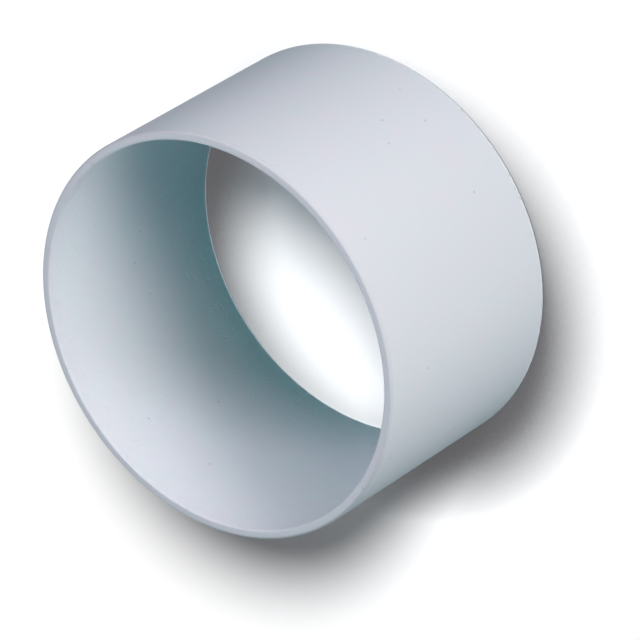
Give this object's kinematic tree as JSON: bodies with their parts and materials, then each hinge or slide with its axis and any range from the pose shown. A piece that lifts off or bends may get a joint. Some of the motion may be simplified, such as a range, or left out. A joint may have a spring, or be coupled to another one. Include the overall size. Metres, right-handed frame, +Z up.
{
  "type": "duct connector",
  "caption": "Plain round sleeve with a straight open bore and rounded end edges, which joins lengths of round ventilation duct.",
  "frame": {"origin": "middle of the lower end face, on the surface that the sleeve stands on", "axes": "+Z up along the bore axis; the sleeve is the same all round, so +X and +Y are any two directions across it"},
  "size_m": [0.105, 0.105, 0.063],
  "materials": {
    "sleeve_plastic": "smooth moulded, satin"
  },
  "bodies": {
    "root": {"connector_sleeve": "sleeve_plastic"}
  },
  "joints": []
}
